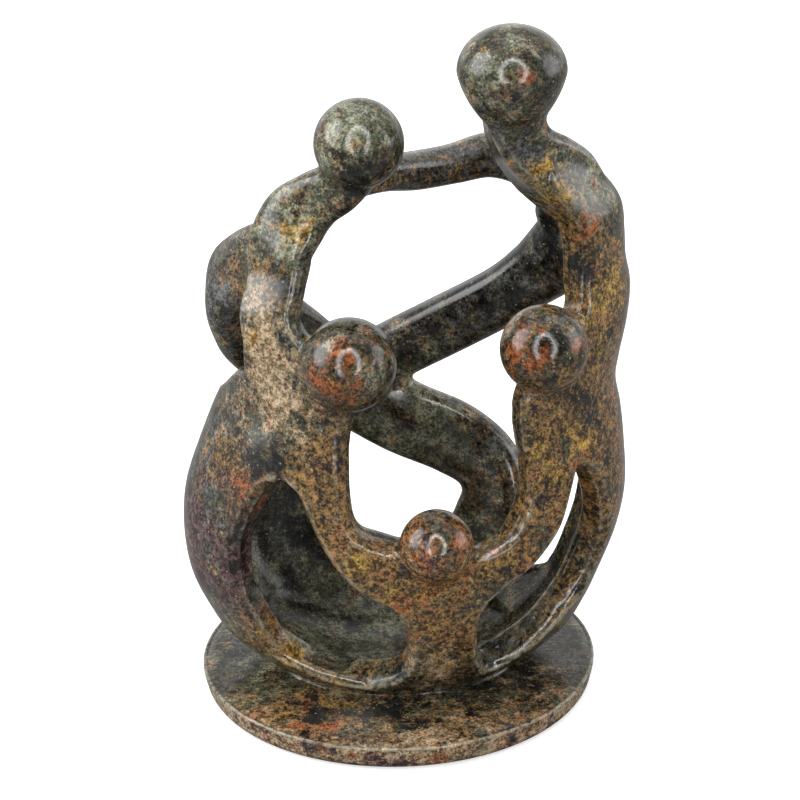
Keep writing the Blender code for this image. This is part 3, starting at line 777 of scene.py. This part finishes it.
def paint_stains(mesh):
    """For each colour, one less the product of what the trace and each bell-shaped stain leave."""
    points, _, _ = read_points(mesh)
    points = points * 1000
    reach = np.hypot(points[:, 0], points[:, 1])
    rim = np.clip((reach - RIM_FROM) / RIM_BLEND, 0, 1) * np.clip(RIM_TOP - points[:, 2], 0, 1)
    for colour, spots in STAINS.items():
        cover, trace = GRAIN[colour][:2]
        left = np.full(len(points), 1 - trace / cover)
        for x, y, z, width, strength in spots:
            far = np.sum((points - (x, y, z)) ** 2, axis=1) / width ** 2
            left *= 1 - strength * np.exp(-FADE * far)
        extra = RIM.get(colour, 0)
        left = left * (1 - extra * rim) if extra > 0 else 1 - (1 - left) * (1 + extra * rim)
        add_layer(mesh, "stain_" + colour, cover * (1 - left))


def paint_edges(mesh):
    """Two layers from the bend: how much painted highlight an outer edge takes, and how much
    painted shade an inner corner takes.
    """
    bend = bend_of(mesh)
    # Painted highlight: pale colour along sharp outer edges, where they would catch the light
    add_layer(mesh, "worn_edge", np.clip((bend - EDGE_HIGHLIGHT_FROM) / EDGE_HIGHLIGHT_SPAN, 0, 1))
    # Painted shade: darker colour in inner corners and creases, where shade falls
    add_layer(mesh, "inner_corner", np.clip((-bend - CORNER_SHADE_FROM) / CORNER_SHADE_SPAN, 0, 1))


class Recipe:
    """Short ways to add nodes to a tree and to join them."""

    def __init__(self, tree):
        self.tree = tree

    def node(self, kind, **settings):
        node = self.tree.nodes.new("ShaderNode" + kind)
        for name, value in settings.items():
            setattr(node, name, value)
        return node

    def feed(self, socket, value):
        if isinstance(value, bpy.types.NodeSocket):
            self.tree.links.new(value, socket)
        else:
            socket.default_value = value

    def maths(self, operation, first, second=0.0, third=0.0):
        node = self.node("Math", operation=operation)
        for socket, value in zip(node.inputs, (first, second, third)):
            self.feed(socket, value)
        return node.outputs[0]

    def along(self, vector, axis):
        """How far a direction goes along an axis: their dot product."""
        node = self.node("VectorMath", operation="DOT_PRODUCT")
        self.feed(node.inputs[0], vector)
        self.feed(node.inputs[1], tuple(axis))
        return node.outputs["Value"]

    def range(self, value, low, high, to_low=0.0, to_high=1.0, smooth=True):
        node = self.node("MapRange")
        node.interpolation_type = "SMOOTHSTEP" if smooth else "LINEAR"
        for name, put_in in (("Value", value), ("From Min", low), ("From Max", high),
                             ("To Min", to_low), ("To Max", to_high)):
            self.feed(node.inputs[name], put_in)
        return node.outputs[0]

    def mix(self, factor, first, second):
        node = self.node("Mix", data_type="RGBA")
        self.feed(node.inputs["Factor"], factor)
        self.feed(node.inputs[6], first)
        self.feed(node.inputs[7], second)
        return node.outputs[2]

    def noise(self, vector, scale, detail, roughness):
        """Three soft noises at one scale, as the three parts of a colour."""
        node = self.node("TexNoise")
        for name, value in (("Vector", vector), ("Scale", scale), ("Detail", detail),
                            ("Roughness", roughness)):
            self.feed(node.inputs[name], value)
        return self.split(node.outputs[1])

    def spots(self, vector, scale, fade, choice):
        """Round spots in the middle of some cells, and a random tone for each cell."""
        node = self.node("TexVoronoi", feature="F1")
        self.feed(node.inputs["Vector"], vector)
        self.feed(node.inputs["Scale"], scale)
        tones = self.split(node.outputs["Color"])
        spot = self.maths("MULTIPLY", self.range(node.outputs["Distance"], *fade),
                          self.range(tones[1], *choice))
        return spot, tones[0]

    def split(self, colour):
        node = self.node("SeparateColor")
        self.feed(node.inputs[0], colour)
        return node.outputs[0], node.outputs[1], node.outputs[2]

    def layer(self, name):
        return self.node("Attribute", attribute_name=name).outputs["Fac"]


def full(colour):
    """A colour with its fourth part, as sockets take it."""
    return (colour[0], colour[1], colour[2], 1.0)


def serpentine(colours):
    """Polished serpentine: stained regions with ragged, granular edges, flecks and fine pits, with
    painted highlight along outer edges and painted shade in inner corners.
    """
    material = bpy.data.materials.new("polished_serpentine")
    material.use_nodes = True
    tree = material.node_tree
    shader = tree.nodes["Principled BSDF"]
    make = Recipe(tree)
    place = make.node("TexCoord").outputs["Object"]
    wide, fine, tiny = [
        [make.range(part, low, high, smooth=False) for part in make.noise(place, *settings)]
        for *settings, low, high in NOISES]
    pit, cell_tone = make.spots(place, *PIT)

    grain = make.maths("MULTIPLY_ADD", fine[1], BODY_SHARES[0],
                       make.maths("MULTIPLY", tiny[0], BODY_SHARES[1]))
    grain = make.maths("MULTIPLY_ADD", cell_tone, BODY_SHARES[2], grain)
    body = make.range(grain, *BODY_SPAN, smooth=False)
    colour = make.mix(body, full(colours.ground_low), full(colours.ground_high))
    for name, (_, _, soft, (a, b, c)) in GRAIN.items():
        level = make.maths("MULTIPLY_ADD", wide[a], LEVEL_SHARES[0],
                           make.maths("MULTIPLY", fine[b], LEVEL_SHARES[1]))
        level = make.maths("MULTIPLY_ADD", tiny[c], LEVEL_SHARES[2], level)
        level = make.range(level, *LEVEL_SPAN, smooth=False)
        shade = make.mix(body, full(getattr(colours, name + "_low")),
                         full(getattr(colours, name + "_high")))
        above = make.maths("SUBTRACT", make.layer("stain_" + name), level)
        colour = make.mix(make.range(above, -soft, soft), colour, shade)

    # Painted highlight: the fleck colour laid along sharp outer edges, broken up by fine noise
    edge_glint = make.maths("MULTIPLY", make.layer("worn_edge"), make.range(fine[0], *EDGE_HIGHLIGHT_BREAKUP))
    for where, strength, over in (
            (make.spots(place, *FLECK)[0], FLECK_STRENGTH, full(colours.fleck_and_glint)),
            (pit, PIT_STRENGTH, full(colours.dark_low)),
            # Painted shade: near black laid into inner corners and creases
            (make.layer("inner_corner"), CORNER_SHADE_STRENGTH, CORNER_SHADE_TONE),
            (edge_glint, EDGE_HIGHLIGHT_STRENGTH, full(colours.fleck_and_glint))):
        colour = make.mix(make.maths("MULTIPLY", where, strength), colour, over)
    make.feed(shader.inputs["Base Color"], colour)

    dull = make.maths("MULTIPLY_ADD", fine[2], DULL_SHARES[0], colours.roughness - 0.05)
    dull = make.maths("MULTIPLY_ADD", tiny[0], DULL_SHARES[1], dull)
    make.feed(shader.inputs["Roughness"], dull)
    shader.inputs["IOR"].default_value = REFRACTION
    relief = make.maths("MULTIPLY_ADD", tiny[1], RELIEF_SHARES[0],
                        make.maths("MULTIPLY", fine[0], RELIEF_SHARES[1]))
    bump = make.node("Bump")
    bump.inputs["Strength"].default_value = RELIEF_STRENGTH
    bump.inputs["Distance"].default_value = RELIEF_DEPTH
    make.feed(bump.inputs["Height"], relief)
    make.feed(shader.inputs["Normal"], bump.outputs[0])
    return material


class FAMILY_OT_carving(bpy.types.Operator):
    """Carve the family and its base as one stone, ease its corners, stain it and polish it"""
    bl_idname = "family.carving"
    bl_label = "Carve the family"

    def execute(self, context):
        sizes = context.scene.carving_sizes
        forms = carve_figure(sizes)
        corners = resolved(put("corners", forms.copy()), sizes.roughing, 1)
        ease_corners(corners, sizes.easing)
        both = bmesh.new()
        both.from_mesh(forms)
        both.from_mesh(corners)
        both.to_mesh(forms)
        both.free()
        eased = resolved(put("eased_figure", forms), sizes.grain, sizes.polishing)
        settle_in_box(eased)
        triangles = 2 * len(eased.polygons)
        figure = put("eased_figure", eased)
        thin = figure.modifiers.new("thin", "DECIMATE")
        thin.ratio = min(1.0, sizes.facets / triangles)
        base = put("turned_base", turned_base(sizes))
        join = figure.modifiers.new("join", "BOOLEAN")
        join.operation = "UNION"
        join.solver = "EXACT"
        join.object = base
        stone = finished(figure, "family_carving")
        drop_slivers(stone)
        bpy.data.objects.remove(figure)
        bpy.data.objects.remove(base)
        stone.materials.clear()
        stone.materials.append(serpentine(context.scene.stone_colours))
        stone.polygons.foreach_set("material_index", np.zeros(len(stone.polygons), np.int32))
        stone.shade_smooth()
        paint_stains(stone)
        # Paints highlight along outer edges and shade in inner corners into the stone's colour
        paint_edges(stone)
        piece = put("family_carving", stone)
        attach(piece, "root")
        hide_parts("family_group")
        return {"FINISHED"}


class FAMILY_OT_studio(bpy.types.Operator):
    """Lay the pale floor, put up the white tent with its ring of light, and place the camera"""
    bl_idname = "family.studio"
    bl_label = "Set up the studio"

    def execute(self, context):
        studio = context.scene.studio_settings
        view = self.place_camera(context, studio)
        self.lay_floor(studio)
        self.light_tent(context, studio, view)
        context.scene.view_settings.view_transform = "Standard"
        return {"FINISHED"}

    def place_camera(self, context, studio):
        """Looks at the middle of the figure from the front, a little from above."""
        target = Vector(TARGET)
        back = Vector((0, -math.cos(studio.elevation), math.sin(studio.elevation)))
        right = Vector((1, 0, 0))
        up = back.cross(right)
        turn = Matrix((right, up, back)).transposed().to_4x4()
        lens = bpy.data.cameras.new("camera")
        lens.sensor_width = 36
        lens.lens = studio.lens
        lens.clip_start = 0.01
        camera = bpy.data.objects.new("camera", lens)
        camera.matrix_world = (Matrix.Translation(target + back * studio.distance) @ turn
                               @ Matrix.Rotation(studio.roll, 4, "Z"))
        context.scene.collection.objects.link(camera)
        context.scene.camera = camera
        return right, up, back

    def lay_floor(self, studio):
        """A wide level square under the base."""
        half = studio.floor_width / 2
        step = np.linspace(-half, half, FLOOR_POINTS)
        x, y = np.meshgrid(step, step, indexing="ij")
        points = np.stack([x, y, 0 * x], -1).reshape(-1, 3)
        index = np.arange(len(points)).reshape(x.shape)
        quads = np.stack([index[:-1, :-1], index[1:, :-1], index[1:, 1:], index[:-1, 1:]], -1)
        mesh = bpy.data.meshes.new("floor")
        mesh.from_pydata(points.tolist(), [], quads.reshape(-1, 4).tolist())
        paint = bpy.data.materials.new("pale_floor")
        paint.use_nodes = True
        shader = paint.node_tree.nodes["Principled BSDF"]
        shader.inputs["Roughness"].default_value = 0.7
        shader.inputs["Emission Color"].default_value = (1, 1, 1, 1)
        make = Recipe(paint.node_tree)
        seen = make.node("LightPath").outputs["Is Camera Ray"]
        make.feed(shader.inputs["Base Color"], make.mix(seen, FLOOR_MIRRORED, FLOOR_SEEN))
        glow = make.maths("MULTIPLY", seen, studio.floor_glow)
        make.feed(shader.inputs["Emission Strength"], glow)
        mesh.materials.append(paint)
        put("floor", mesh)

    def light_tent(self, context, studio, view):
        """White all round, dim towards the lens, with an upright oval ring of light about it.

        The ring is where the angles across and upright, each over its half angle and squared, add
        up to about one.
        """
        world = bpy.data.worlds.new("white_tent")
        context.scene.world = world
        world.use_nodes = True
        tree = world.node_tree
        tree.nodes.clear()
        make = Recipe(tree)
        right, up, back = view
        way = make.node("TexCoord").outputs["Generated"]
        ahead, aside, above, rise = [make.along(way, axis) for axis in (back, right, up, (0, 0, 1))]
        away = make.maths("ARCCOSINE", ahead)
        white = make.range(rise, *TOP_SPAN, studio.wall, studio.top)
        behind = make.range(away, *BACK_SPAN, 0.0, studio.back)
        low = make.range(rise, *LOW_SPAN)
        white = make.maths("MAXIMUM", white, make.maths("MULTIPLY", behind, low))
        for facing, inner, outer, setting in PANELS:
            panel = make.range(make.along(way, facing), math.cos(math.radians(outer)),
                               math.cos(math.radians(inner)), 0.0, getattr(studio, setting))
            white = make.maths("ADD", white, panel)
        open_front = make.range(away, *FRONT_SPAN)
        tent = make.maths("MULTIPLY_ADD", open_front, white, studio.front)
        across = make.maths("ARCTAN2", aside, ahead)
        upright = make.maths("ARCTAN2", above, ahead)
        squares = [make.maths("POWER", make.maths("DIVIDE", angle, half), 2)
                   for angle, half in ((across, RING_ACROSS), (upright, RING_UPRIGHT))]
        oval = make.maths("SQRT", make.maths("ADD", *squares))
        near = make.maths("ABSOLUTE", make.maths("SUBTRACT", oval, 1))
        ring = make.range(near, *RING_FADE, studio.ring, 0.0)
        mirrored = make.node("LightPath").outputs["Is Glossy Ray"]
        ring = make.maths("MULTIPLY", ring, make.maths("MULTIPLY_ADD", mirrored, RING_GAIN, 1.0))
        choose = make.node("MixShader")
        make.feed(choose.inputs[0], make.node("LightPath").outputs["Is Camera Ray"])
        for socket, strength in zip(choose.inputs[1:], (make.maths("ADD", tent, ring), 1.0)):
            shown = make.node("Background")
            shown.inputs["Color"].default_value = (1, 1, 1, 1)
            make.feed(shown.inputs["Strength"], strength)
            make.feed(socket, shown.outputs[0])
        out = make.node("OutputWorld")
        make.feed(out.inputs["Surface"], choose.outputs[0])


class FAMILY_PT_panel(bpy.types.Panel):
    """Lists the steps and the sizes and colours that they use"""
    bl_idname = "FAMILY_PT_panel"
    bl_label = "Stone family group"
    bl_space_type = "VIEW_3D"
    bl_region_type = "UI"
    bl_category = "Family group"

    def draw(self, context):
        layout = self.layout
        layout.operator(FAMILY_OT_carving.bl_idname)
        layout.operator(FAMILY_OT_studio.bl_idname)
        for name in GROUPS:
            group = getattr(context.scene, name)
            box = layout.box()
            for setting in group.__annotations__:
                box.prop(group, setting)


GROUPS = {
    "carving_sizes": CarvingSizes,
    "stone_colours": StoneColours,
    "studio_settings": StudioSettings,
}
CLASSES = (CarvingSizes, StoneColours, StudioSettings, FAMILY_OT_carving, FAMILY_OT_studio,
           FAMILY_PT_panel)


def register():
    for item in CLASSES:
        bpy.utils.register_class(item)
    for name, group in GROUPS.items():
        setattr(bpy.types.Scene, name, PointerProperty(type=group))


def unregister():
    for name in GROUPS:
        delattr(bpy.types.Scene, name)
    for item in reversed(CLASSES):
        bpy.utils.unregister_class(item)


def main():
    register()
    bpy.ops.family.studio()
    bpy.ops.family.carving()


if __name__ == "__main__":
    main()
